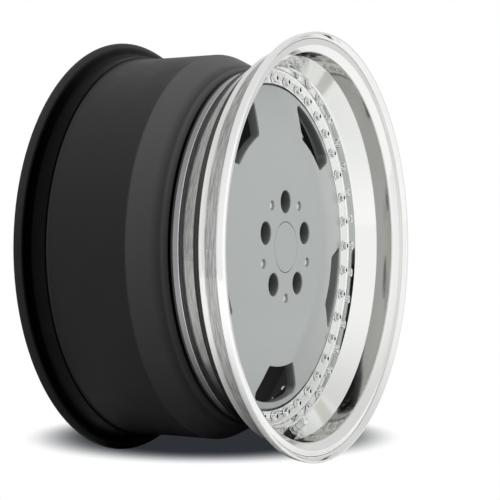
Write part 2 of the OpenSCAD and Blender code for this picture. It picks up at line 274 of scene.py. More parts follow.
@dataclass(frozen=True)
class TurnedMetal(Finish):
    """Spun and lathe-turned aluminium: fine rings about the wheel's axis, then buffed.

    It is bright inside, save one band darkened as painted shade, and left duller and streaked
    outside, where a tyre hides it. Real tool marks are finer, and the rings here are drawn wide
    enough to show.
    """

    ring_mm: float = 1.2
    ring_drift: float = 0.004
    ring_noise: tuple[float, float] = (4.0, 0.6)
    depth: float = 0.05
    depth_mm: float = 0.2
    spread: float = 0.06
    edge_mm: float = 0.8
    streak_mm: float = 1.6
    streak_drift: float = 0.016
    streak_noise: tuple[float, float] = (5.0, 0.7)
    streak_span: tuple[float, float] = (0.38, 0.62)
    streak_share: float = 0.6
    streak: str = "#4E4E4E"
    # Painted shade: crevices are darkened towards this grey where another surface is near.
    crevice_shade_mm: float = 1.2
    crevice_shade_open: tuple[float, float] = (0.4, 0.8)
    crevice_shade: str = "#727375"
    outward: tuple[float, float] = (0.1, 0.3)
    outside: Zones = (
        (57.0, "#DCDCDA", 0.5), (57.9, "#DCDCDA", 0.5), (58.3, "#FFFFFF", 0.0),
        (61.6, "#FFFFFF", 0.0), (62.2, "#B4B4B2", 1.0), (82.0, "#C0C0BE", 1.0),
        (84.0, "#CCCCCA", 0.5), (93.0, "#F4F4F2", 0.1), (102.5, "#F4F4F2", 0.1),
        (104.5, "#C6C6C4", 1.0), (118.0, "#C6C6C4", 1.0), (121.0, "#FDFDFD", 0.0),
        (140.0, "#FDFDFD", 0.0))
    # Painted shade: the inside band from 104 to 125 mm is darker to stand for the darker reflection there.
    inside: Zones = (
        (57.0, "#F1F2F0", 0.0), (103.4, "#F1F2F0", 0.0), (104.0, "#D2CFCB", 0.0),
        (125.0, "#D2CFCB", 0.0), (125.6, "#F1F2F0", 0.0), (140.0, "#F1F2F0", 0.0))

    def pattern(self, tree: bpy.types.NodeTree, shader: bpy.types.Node) -> None:
        """Rings in the gloss and the normal, and a colour for each zone of the profile.

        Args:
            tree: the material's tree.
            shader: the node that the pattern feeds.
        """
        place = Place.of(tree)
        lines = self.rings(tree, place, self.ring_mm, self.ring_drift, self.ring_noise)
        rough = add_node(tree, "ShaderNodeMapRange", Value=lines, **NOISE_SPAN,
                         To_Min=self.roughness, To_Max=self.roughness + self.spread)
        edge = add_node(tree, "ShaderNodeBevel", {"samples": EDGE_SAMPLES}, Radius=self.edge_mm * MM)
        bump = add_node(tree, "ShaderNodeBump", Height=lines, Strength=self.depth,
                        Distance=self.depth_mm * MM, Normal=edge)
        feed(tree, shader, Base_Color=self.streaks_and_painted_shade(tree, place), Roughness=rough, Normal=bump)

    def rings(self, tree: bpy.types.NodeTree, place: Place, size_mm: float, drift: float,
              noise: tuple[float, float]) -> bpy.types.Node:
        """Adds a noise that is drawn out into rings about the wheel's axis.

        Args:
            tree: the material's tree.
            place: where the point lies.
            size_mm: width of one ring.
            drift: how far the noise moves on in one radian.
            noise: its octaves and their roughness.

        Returns:
            The noise.
        """
        slow = add_node(tree, "ShaderNodeMath", {"operation": "MULTIPLY"}, in0=place.turn, in1=drift)
        spot = add_node(tree, "ShaderNodeCombineXYZ", X=place.radius, Y=place.y, Z=slow)
        return add_node(tree, "ShaderNodeTexNoise", Vector=spot, Scale=1 / (size_mm * MM),
                        Detail=noise[0], Roughness=noise[1])

    def streaks_and_painted_shade(self, tree: bpy.types.NodeTree, place: Place) -> bpy.types.Node:
        """Adds the colour of the zones, with streaks outside and painted shade in crevices.

        Args:
            tree: the material's tree.
            place: where the point lies.

        Returns:
            The node that gives the colour.
        """
        streaks = self.rings(tree, place, self.streak_mm, self.streak_drift, self.streak_noise)
        uneven = add_node(tree, "ShaderNodeMapRange", Value=streaks, From_Min=self.streak_span[0],
                          From_Max=self.streak_span[1], To_Max=self.streak_share)
        outer = zone_ramp(tree, place.y, self.outside)
        share = add_node(tree, "ShaderNodeMath", {"operation": "MULTIPLY"}, in0=uneven,
                         in1=outer.outputs["Alpha"])
        streaked = add_node(tree, "ShaderNodeMix", COLOURS, Factor=share, A=outer,
                            B=linear(self.streak))
        body = add_node(tree, "ShaderNodeMix", COLOURS, Factor=place.facing_out(tree, *self.outward),
                        A=zone_ramp(tree, place.y, self.inside), B=streaked)
        # Painted shade in crevices, from how shut in the point is.
        crevice_shade = shade_in_hollows(tree, self.crevice_shade_mm, *self.crevice_shade_open)
        return add_node(tree, "ShaderNodeMix", COLOURS, Factor=crevice_shade, A=body, B=linear(self.crevice_shade))


@dataclass(frozen=True)
class SprayedPaint(Finish):
    """Sprayed coat over cast metal: a faint orange peel in the gloss.

    The zones run along the outside and paint light and shade into the black: black lines in the
    crevices, a darker seat, a lighter cone band and a highlight near the joint. Their share says how
    little light the coat scatters there, which paints shade as well.
    """

    peel_mm: float = 1.6
    depth: float = 0.06
    depth_mm: float = 0.1
    cloud_mm: float = 30.0
    mottle: float = 0.04
    sheen: float = 0.13
    hollow_shade_mm: float = 18.0
    hollow_shade_open: tuple[float, float] = (0.5, 0.96)
    # Painted shade: hollows go nearly black.
    hollow: str = "#040404"
    outward: tuple[float, float] = (-0.5, -0.3)
    # Painted light and shade along the outside: black in the crevices, a darker seat, a lighter cone band,
    # a highlight at 37 mm.
    zones: Zones = (
        (-139.0, "#303031", 0.0), (-132.5, "#2A2A2B", 0.0), (-131.0, "#020202", 1.0),
        (-125.5, "#020202", 1.0), (-124.5, "#0C0C0D", 0.72), (-108.5, "#0C0C0D", 0.6),
        (-108.0, "#020202", 1.0), (-106.8, "#020202", 1.0), (-106.2, "#323233", 0.0),
        (-60.0, "#303031", 0.1), (-1.5, "#303031", 0.0), (1.0, "#4E4E4F", 0.0),
        (24.0, "#4E4E4F", 0.0), (34.0, "#363637", 0.1), (37.0, "#4C4C4D", 0.1),
        (42.8, "#323233", 0.1), (43.4, "#020202", 1.0), (47.8, "#020202", 1.0))

    def pattern(self, tree: bpy.types.NodeTree, shader: bpy.types.Node) -> None:
        """Orange peel in the normal, a slight change of gloss, and the painted light and shade of each
        zone and of the hollows.

        Args:
            tree: the material's tree.
            shader: the node that the pattern feeds.
        """
        bump = add_node(tree, "ShaderNodeBump", Height=self.grain(tree, self.peel_mm),
                        Strength=self.depth, Distance=self.depth_mm * MM)
        rough = add_node(tree, "ShaderNodeMapRange", Value=self.grain(tree, self.cloud_mm),
                         **NOISE_SPAN, To_Min=self.roughness - self.mottle,
                         To_Max=self.roughness + self.mottle)
        place = Place.of(tree)
        outer = zone_ramp(tree, place.y, self.zones)
        out = place.facing_out(tree, *self.outward)
        # Painted shade: near black and without gloss where the point is shut in, and where the zones say.
        hollow = shade_in_hollows(tree, self.hollow_shade_mm, *self.hollow_shade_open)
        thin = add_node(tree, "ShaderNodeMath", {"operation": "MULTIPLY"}, in0=out,
                        in1=outer.outputs["Alpha"])
        dull = add_node(tree, "ShaderNodeMath", {"operation": "MAXIMUM"}, in0=hollow, in1=thin)
        coat = add_node(tree, "ShaderNodeMix", COLOURS, Factor=out, A=linear(self.colour), B=outer)
        colour = add_node(tree, "ShaderNodeMix", COLOURS, Factor=hollow, A=coat, B=linear(self.hollow))
        feed(tree, shader, Base_Color=colour, Metallic=dull, Roughness=rough, Normal=bump,
             Specular_IOR_Level=self.sheen)


@dataclass(frozen=True)
class DiscPaint(Finish):
    """Metallic silver under clear lacquer on the face, with painted shade that darkens the walls, the deep
    recesses and the back.

    The clamped edge of the disc is bare machined metal, with a highlight painted on its outboard
    band. Real flake is finer than a tenth of a millimetre, and it is drawn coarse enough to show.
    """

    flake: str = "#C1C6C4"
    flake_mm: float = 0.7
    # Painted shade: grey for the walls just under the face, dark for deep recesses and the back.
    wall_shade: str = "#8C908F"
    recess_shade: str = "#2C2E2F"
    # Painted shade: grooves and gaps darkened to this grey where another surface is near.
    seam_shade: str = "#3A3C3C"
    seam_shade_mm: float = 2.0
    seam_shade_open: tuple[float, float] = (0.3, 0.8)
    edge_mm: float = 1.0
    face_u: float = 83.0
    flat_r: float = 71.0
    rim_r: float = 200.0
    drop: float = 17.6
    deep_mm: float = 1.6
    wall_mm: float = 1.5
    dark_mm: float = 26.0
    edge_r: float = 203.0
    bare: str = "#8E8F90"
    bare_rough: float = 0.22
    # Painted highlight: the outboard band of the bare edge is brighter.
    edge_highlight: str = "#E2E3E3"
    edge_highlight_u: float = 55.6
    dimple_ring: float = 63.0
    dimple_turn: float = 54.0
    # Painted shade for each dimple's darker ring, painted highlight for its bright middle.
    dimple_shade: str = "#858988"
    dimple_shade_mm: tuple[float, float] = (5.6, 6.3)
    core: str = "#F2F4F3"
    dimple_highlight_mm: tuple[float, float] = (3.2, 4.2)

    def pattern(self, tree: bpy.types.NodeTree, shader: bpy.types.Node) -> None:
        """Masks by how deep a point lies under the domed face for painted shade, flake in the silver, and
        painted shade in grooves and gaps.

        Args:
            tree: the material's tree.
            shader: the node that the pattern feeds.
        """
        place = Place.of(tree)
        # Painted highlight on the outboard band of the bare edge.
        band = add_node(tree, "ShaderNodeMath", {"operation": "LESS_THAN"}, in0=place.y,
                        in1=-self.edge_highlight_u * MM)
        edge = add_node(tree, "ShaderNodeMath", {"operation": "GREATER_THAN"}, in0=place.radius,
                        in1=self.edge_r * MM)
        bare = add_node(tree, "ShaderNodeMix", COLOURS, Factor=band, A=linear(self.bare),
                        B=linear(self.edge_highlight))
        # Painted shade in grooves and gaps.
        seam_shade = add_node(tree, "ShaderNodeMix", COLOURS,
                        Factor=shade_in_hollows(tree, self.seam_shade_mm, *self.seam_shade_open),
                        A=self.dimpled(tree, place, self.painted(tree, place)), B=linear(self.seam_shade))
        colour = add_node(tree, "ShaderNodeMix", COLOURS, Factor=edge, A=seam_shade, B=bare)
        metal = add_node(tree, "ShaderNodeMapRange", Value=edge, To_Min=self.metallic, To_Max=1.0)
        rough = add_node(tree, "ShaderNodeMapRange", Value=edge, To_Min=self.roughness,
                         To_Max=self.bare_rough)
        soft = add_node(tree, "ShaderNodeBevel", {"samples": EDGE_SAMPLES}, Radius=self.edge_mm * MM)
        feed(tree, shader, Base_Color=colour, Metallic=metal, Roughness=rough, Normal=soft,
             Coat_Normal=soft)

    def depth(self, tree: bpy.types.NodeTree, place: Place) -> bpy.types.Node:
        """Adds how deep a point lies under the domed face, in metres.

        Args:
            tree: the material's tree.
            place: where the point lies.

        Returns:
            The node that gives the depth.
        """
        along = add_node(tree, "ShaderNodeMapRange", Value=place.radius, From_Min=self.flat_r * MM,
                         From_Max=self.rim_r * MM)
        bend = add_node(tree, "ShaderNodeMath", {"operation": "POWER"}, in0=along, in1=2.0)
        surface = add_node(tree, "ShaderNodeMath", {"operation": "MULTIPLY_ADD"}, in0=bend,
                           in1=self.drop * MM, in2=-self.face_u * MM)
        return add_node(tree, "ShaderNodeMath", {"operation": "SUBTRACT"}, in0=place.y, in1=surface)

    def painted(self, tree: bpy.types.NodeTree, place: Place) -> bpy.types.Node:
        """Adds the silver of the face, with painted shade: grey on the walls and dark in the deep
        recesses.

        Args:
            tree: the material's tree.
            place: where the point lies.

        Returns:
            The node that gives the colour.
        """
        under = self.depth(tree, place)
        # Painted shade: the deeper under the face, the darker.
        shallow = add_node(tree, "ShaderNodeMapRange", Value=under, From_Min=self.deep_mm * MM,
                           From_Max=(self.deep_mm + self.wall_mm) * MM)
        deep = add_node(tree, "ShaderNodeMapRange", Value=under, From_Min=self.deep_mm * 2 * MM,
                        From_Max=self.dark_mm * MM)
        silver = add_node(tree, "ShaderNodeMix", COLOURS, Factor=self.grain(tree, self.flake_mm),
                          A=linear(self.colour), B=linear(self.flake))
        wall_shade = add_node(tree, "ShaderNodeMix", COLOURS, Factor=deep, A=linear(self.wall_shade),
                        B=linear(self.recess_shade))
        return add_node(tree, "ShaderNodeMix", COLOURS, Factor=shallow, A=silver, B=wall_shade)

    def dimpled(self, tree: bpy.types.NodeTree, place: Place, face: bpy.types.Node) -> bpy.types.Node:
        """Adds the five drilled dimples, each a ring of painted shade round a painted highlight.

        Args:
            tree: the material's tree.
            place: where the point lies.
            face: the colour round the dimples.

        Returns:
            The node that gives the colour.
        """
        ring = self.dimple_ring * MM
        turned = add_node(tree, "ShaderNodeMath", {"operation": "SUBTRACT"}, in0=place.turn,
                          in1=math.radians(self.dimple_turn) - FIFTH / 2)
        share = add_node(tree, "ShaderNodeMath", {"operation": "FLOORED_MODULO"}, in0=turned, in1=FIFTH)
        across = add_node(tree, "ShaderNodeMath", {"operation": "MULTIPLY_ADD"}, in0=share, in1=ring,
                          in2=-FIFTH / 2 * ring)
        along = add_node(tree, "ShaderNodeMath", {"operation": "SUBTRACT"}, in0=place.radius, in1=ring)
        local = add_node(tree, "ShaderNodeCombineXYZ", X=across, Y=along)
        away = add_node(tree, "ShaderNodeVectorMath", {"operation": "LENGTH"}, in0=local)
        # Painted shade ring first, then the painted highlight in the middle.
        for (start, end), colour in ((self.dimple_shade_mm, self.dimple_shade), (self.dimple_highlight_mm, self.core)):
            inside = add_node(tree, "ShaderNodeMapRange", Value=away, From_Min=start * MM,
                              From_Max=end * MM, To_Min=1.0, To_Max=0.0)
            face = add_node(tree, "ShaderNodeMix", COLOURS, Factor=inside, A=face, B=linear(colour))
        return face


@dataclass(frozen=True)
class PlatedMetal(Finish):
    """Plated steel and turned brass: bright and nearly even, with a trace of handling in the gloss and
    painted shade in crevices.
    """

    cloud_mm: float = 3.0
    handled: tuple[float, float] = (0.7, 1.5)
    crevice_shade_mm: float = 4.0
    crevice_shade_open: tuple[float, float] = (0.3, 0.95)
    # Painted shade: crevices darkened towards this where another surface is near.
    crevice_shade: str = "#0E0F11"

    def pattern(self, tree: bpy.types.NodeTree, shader: bpy.types.Node) -> None:
        """A slight change of gloss a few millimetres wide, and painted shade in crevices.

        Args:
            tree: the material's tree.
            shader: the node that the pattern feeds.
        """
        low, high = self.handled
        rough = add_node(tree, "ShaderNodeMapRange", Value=self.grain(tree, self.cloud_mm),
                         **NOISE_SPAN, To_Min=self.roughness * low, To_Max=self.roughness * high)
        # Painted shade in crevices.
        colour = add_node(tree, "ShaderNodeMix", COLOURS,
                          Factor=shade_in_hollows(tree, self.crevice_shade_mm, *self.crevice_shade_open),
                          A=linear(self.colour), B=linear(self.crevice_shade))
        feed(tree, shader, Base_Color=colour, Roughness=rough)


@dataclass(frozen=True)
class MouldedRubber(Finish):
    """Moulded black rubber: a fine matt grain."""

    grain_mm: float = 0.4
    depth: float = 0.15
    depth_mm: float = 0.05

    def pattern(self, tree: bpy.types.NodeTree, shader: bpy.types.Node) -> None:
        """Fine grain in the normal."""
        bump = add_node(tree, "ShaderNodeBump", Height=self.grain(tree, self.grain_mm),
                        Strength=self.depth, Distance=self.depth_mm * MM)
        feed(tree, shader, Normal=bump)


POLISHED = TurnedMetal("polished_aluminium", "#EBECEA", metallic=1.0, roughness=0.04)
BLACK_PAINT = SprayedPaint("satin_black_paint", "#2A2A2B", roughness=0.5)
SILVER_PAINT = DiscPaint("silver_paint", "#B4B9B7", metallic=0.3, roughness=0.5,
                         coat=0.5, coat_roughness=0.03)
CHROME = PlatedMetal("chrome_plate", "#F2F3F4", metallic=1.0, roughness=0.05)
ZINC = PlatedMetal("zinc_plate", "#C6C8CB", metallic=1.0, roughness=0.25)
BRASS = PlatedMetal("turned_brass", "#C9A45C", metallic=1.0, roughness=0.3)
RUBBER = MouldedRubber("black_rubber", "#121213", roughness=0.32)

NODE_FINISH: dict[str, Finish] = {
    "outer_lip": POLISHED,
    "inner_barrel": BLACK_PAINT,
    "centre_disc": SILVER_PAINT,
    "lip_joint_seal": RUBBER,
    "barrel_joint_seal": RUBBER,
    "assembly_bolts": CHROME,
    "assembly_washers": ZINC,
    "assembly_nuts": ZINC,
    "centre_cap": SILVER_PAINT,
    "cap_clip_ring": ZINC,
    "valve_body": CHROME,
    "valve_gasket": RUBBER,
    "valve_grommet": RUBBER,
    "valve_nut": CHROME,
    "valve_core": BRASS,
    "valve_cap": CHROME,
}


def closed_mesh(name: str, verts: Sequence[Vector | tuple], faces: Sequence[Sequence[int]],
                merge: bool = True) -> bpy.types.Mesh:
    """Makes a mesh whose faces all look outwards.

    Args:
        name: the mesh's name.
        verts: points in metres.
        faces: point numbers of each face.
        merge: whether points that fall together become one.

    Returns:
        The mesh.
    """
    mesh = bpy.data.meshes.new(name)
    mesh.from_pydata([tuple(v) for v in verts], [], [tuple(f) for f in faces])
    work = bmesh.new()
    work.from_mesh(mesh)
    if merge:
        bmesh.ops.remove_doubles(work, verts=work.verts, dist=MERGE_MM * MM)
    bmesh.ops.recalc_face_normals(work, faces=work.faces)
    work.to_mesh(mesh)
    work.free()
    return mesh


def smooth(mesh: bpy.types.Mesh, sharp_deg: float) -> None:
    """Smooths a mesh's faces and keeps the edges sharp that turn by more than an angle."""
    mesh.polygons.foreach_set("use_smooth", [True] * len(mesh.polygons))
    mesh.set_sharp_from_angle(angle=math.radians(sharp_deg))


def linked(name: str, data: bpy.types.ID) -> bpy.types.Object:
    """Makes an object and links it to the scene.

    Args:
        name: the object's name.
        data: its mesh, lamp or camera.

    Returns:
        The object.
    """
    thing = bpy.data.objects.new(name, data)
    bpy.context.collection.objects.link(thing)
    return thing


def mesh_piece(name: str, verts: Sequence[Vector | tuple], faces: Sequence[Sequence[int]],
               finish: bpy.types.Material, sharp_deg: float = 35.0) -> bpy.types.Object:
    """Makes one mesh piece with smooth faces and its true edges kept sharp.

    Args:
        name: the piece's name.
        verts: points in the row frame, in metres.
        faces: point numbers of each face.
        finish: the piece's material.
        sharp_deg: edges that turn by more than this stay sharp.

    Returns:
        The new object, linked to the scene.
    """
    mesh = closed_mesh(name, verts, faces)
    mesh.materials.append(finish)
    smooth(mesh, sharp_deg)
    return linked(name, mesh)


def bands(rings: int, sides: int, base: int = 0) -> list[tuple[int, ...]]:
    """Lists the faces between rings of points that follow each other.

    Args:
        rings: number of rings.
        sides: points in each ring.
        base: number of the first point.

    Returns:
        The faces.
    """
    faces = []
    for k in range(rings - 1):
        low, high = base + k * sides, base + (k + 1) * sides
        for i in range(sides):
            j = (i + 1) % sides
            faces.append((low + i, low + j, high + j, high + i))
    return faces


def rounded(points: Corners, steps: int = 6) -> list[tuple[float, float]]:
    """Rounds the corners of a closed outline.

    Args:
        points: corners as (r, u, radius of the rounding), all in millimetres.
        steps: pieces in each rounding.

    Returns:
        The outline's points as (r, u).
    """
    out: list[tuple[float, float]] = []
    count = len(points)
    for i, (r, u, radius) in enumerate(points):
        here = Vector((r, u))
        before = Vector(points[i - 1][:2]) - here
        after = Vector(points[(i + 1) % count][:2]) - here
        angle = before.angle(after)
        if radius <= 0 or angle > math.radians(STRAIGHT_DEG):
            out.append((r, u))
            continue
        room = min(before.length, after.length) * ROUND_SHARE
        reach = min(radius / math.tan(angle / 2), room)
        start = here + before.normalized() * reach
        end = here + after.normalized() * reach
        for k in range(steps + 1):
            t = k / steps
            point = start * (1 - t) ** 2 + here * 2 * t * (1 - t) + end * t * t
            out.append((point.x, point.y))
    return out


def circle(sides: int) -> list[tuple[float, float]]:
    """Lists evenly spaced points of a circle with a radius of 1."""
    angles = [2 * math.pi * i / sides for i in range(sides)]
    return [(math.cos(angle), math.sin(angle)) for angle in angles]


def lathe(outline: Sequence[tuple[float, float]], turns: int) -> tuple[list[tuple], list[tuple]]:
    """Turns a closed outline about the wheel's axis.

    Args:
        outline: points as (r, u), in millimetres.
        turns: steps round the axis.

    Returns:
        Points in the row frame, in metres, and faces.
    """
    verts = [(r * x * MM, -u * MM, r * z * MM) for x, z in circle(turns) for r, u in outline]
    faces = []
    count = len(outline)
    for i in range(turns):
        here, there = i * count, (i + 1) % turns * count
        for k in range(count):
            k2 = (k + 1) % count
            faces.append((here + k, here + k2, there + k2, there + k))
    return verts, faces


@dataclass
class OuterLip:
    """The polished stepped lip, with the soft roundings that a buffing wheel leaves."""

    rim_r: float = 261.0
    half: float = 139.0
    well_r: float = 217.8
    seat_r: float = 243.6
    ring_in: float = 202.0
    lip_u: float = 57.5
    plane_u: float = 65.5
    turns: int = 288
    hole_count: int = 40
    hole_ring: float = 209.0
    hole_sides: int = 24
    valve_sides: int = 48
    valve_a: float = -94.5
    valve_tilt: float = 46.0
    valve_r: float = 230.997
    valve_u: float = 95.4
    sharp_deg: float = 50.0
    hole_rod: tuple[tuple[float, float], ...] = ((3.75, 50.0), (3.75, 70.0))
    valve_plug: tuple[tuple[float, float], ...] = (
        (8.4, -18.2), (8.4, -6.2), (4.15, -6.2), (4.15, -1.2), (8.4, -1.2), (8.4, 10.8))
    node: str = "outer_lip"

    def valve_seat(self) -> Matrix:
        """Where the valve sits: its axis is the matrix's Z, in millimetres of the row frame."""
        return (Matrix.Rotation(math.pi / 2, 4, "X")
                @ Matrix.Rotation(math.radians(self.valve_a), 4, "Z")
                @ Matrix.Translation((self.valve_r, 0, self.valve_u))
                @ Matrix.Rotation(math.radians(self.valve_tilt - 90), 4, "Y"))

    def cutters(self) -> bpy.types.Object:
        """Makes one mesh with a rod for each bolt hole and a stepped plug for the valve's seats."""
        laid = Matrix.Rotation(math.pi / 2, 4, "X")
        out = Matrix.Translation((self.hole_ring, 0, 0))
        angles = [2 * math.pi * i / self.hole_count for i in range(self.hole_count)]
        plugs = [
            (self.hole_rod, self.hole_sides, laid @ Matrix.Rotation(angle, 4, "Z") @ out)
            for angle in angles]
        plugs.append((self.valve_plug, self.valve_sides, self.valve_seat()))
        verts: list[Vector] = []
        faces: list[tuple[int, ...]] = []
        for outline, sides, place in plugs:
            base = len(verts)
            top = base + (len(outline) - 1) * sides
            verts += [place @ Vector((r * x, r * y, z)) * MM for r, z in outline for x, y in circle(sides)]
            faces += bands(len(outline), sides, base)
            faces.append(tuple(base + i for i in range(sides)))
            faces.append(tuple(top + i for i in reversed(range(sides))))
        return linked("lip_cutters", closed_mesh("lip_cutters", verts, faces, merge=False))

    def outline(self) -> list[tuple[float, float]]:
        """The lip's section, from the joint along the outside to the flange and back inside."""
        well, seat, half, rim = self.well_r, self.seat_r, self.half, self.rim_r
        return rounded([
            (self.ring_in, self.lip_u, 0), (well - 1.2, self.lip_u, 0), (well, self.lip_u + 1.2, 0.3),
            (well + 4.2, self.lip_u + 3.8, 1.2), (seat - 12.7, half - 55.9, 12),
            (seat - 7.4, half - 47.4, 10), (seat - 2.2, half - 43.2, 1.6), (seat - 1.9, half - 39.2, 1.4),
            (seat - 1.2, half - 37.0, 3), (seat, half - 18.0, 2), (seat + 0.6, half - 11.5, 6),
            (rim - 1.5, half - 11.5, 1.0), (rim - 0.9, half - 9.0, 1.0), (rim - 0.1, half - 2.4, 1.6),
            (rim - 0.9, half, 1.2), (rim - 2.9, half - 0.2, 0.8), (rim - 5.2, half - 4.6, 0.8),
            (rim - 6.4, half - 6.2, 0.8), (rim - 7.4, half - 6.2, 0), (rim - 7.8, half - 7.0, 0),
            (rim - 8.3, half - 6.2, 0), (rim - 15.5, half - 6.2, 4), (rim - 24.4, half - 13.5, 5),
            (seat - 9, half - 36, 1.2), (well + 5.8, half - 59.2, 1.0), (well + 4.2, half - 61.6, 1.2),
            (well + 3.0, self.plane_u, 4.2), (self.ring_in + 0.8, self.plane_u, 0.3),
            (self.ring_in, self.plane_u - 0.8, 0.3),
        ])

    def build(self, finish: bpy.types.Material) -> bpy.types.Object:
        """Builds the lip and puts it in the node's place.

        Args:
            finish: the polished metal.

        Returns:
            The lip.
        """
        verts, faces = lathe(self.outline(), self.turns)
        piece = mesh_piece("lip_polished", verts, faces, finish, self.sharp_deg)
        cutters = self.cutters()
        cut = piece.modifiers.new("holes", "BOOLEAN")
        cut.operation = "DIFFERENCE"
        cut.solver = "EXACT"
        cut.object = cutters
        graph = bpy.context.evaluated_depsgraph_get()
        whole = piece.data
        piece.data = bpy.data.meshes.new_from_object(piece.evaluated_get(graph))
        piece.modifiers.clear()
        piece.data.set_sharp_from_angle(angle=math.radians(self.sharp_deg))
        bpy.data.meshes.remove(whole)
        bpy.data.objects.remove(cutters)
        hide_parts(self.node)
        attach(piece, "root")
        return piece


@dataclass
class ValvePiece:
    """A piece turned about the valve's own axis."""

    name: str
    node: str
    outline: Corners
    turns: int = 96

    def build(self, finish: bpy.types.Material, seat: Matrix) -> bpy.types.Object:
        """Builds the piece and puts it in its node's place.

        Args:
            finish: the piece's material.
            seat: where the valve sits, in millimetres.

        Returns:
            The piece.
        """
        verts, faces = lathe(rounded(self.outline, 4), self.turns)
        stand = Matrix.Rotation(-math.pi / 2, 4, "X")
        placed = [(seat @ stand @ (Vector(v) / MM)) * MM for v in verts]
        piece = mesh_piece(self.name, placed, faces, finish)
        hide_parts(self.node)
        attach(piece, "root")
        return piece


VALVE_SLEEVE = ValvePiece("valve_sleeve", "valve_cap", (
    (2.6, 15.2, 0), (4.5, 15.2, 0), (4.9, 15.7, 0.2), (4.9, 17.2, 0), (4.3, 17.5, 0), (4.3, 18.1, 0),
    (4.9, 18.4, 0), (4.9, 26.8, 0.6), (6.5, 28.0, 0.5), (6.5, 32.3, 0.5), (5.6, 33.0, 0.4),
    (2.4, 33.0, 0.2), (1.2, 32.2, 0.2), (1.2, 30.6, 0), (2.6, 30.6, 0)))
VALVE_COLLAR = ValvePiece("valve_collar", "valve_grommet", (
    (3.95, -1.2, 0), (7.2, -1.2, 0.3), (7.4, 1.6, 0.4), (6.7, 1.9, 0.2), (6.7, 2.3, 0.2), (7.4, 2.6, 0.4),
    (7.4, 4.4, 0.4), (6.7, 4.7, 0.2), (6.7, 5.1, 0.2), (7.4, 5.4, 0.4), (7.4, 7.2, 0.4), (6.7, 7.5, 0.2),
    (6.7, 7.9, 0.2), (7.4, 8.2, 0.4), (7.2, 9.0, 0.3), (3.95, 9.0, 0)))


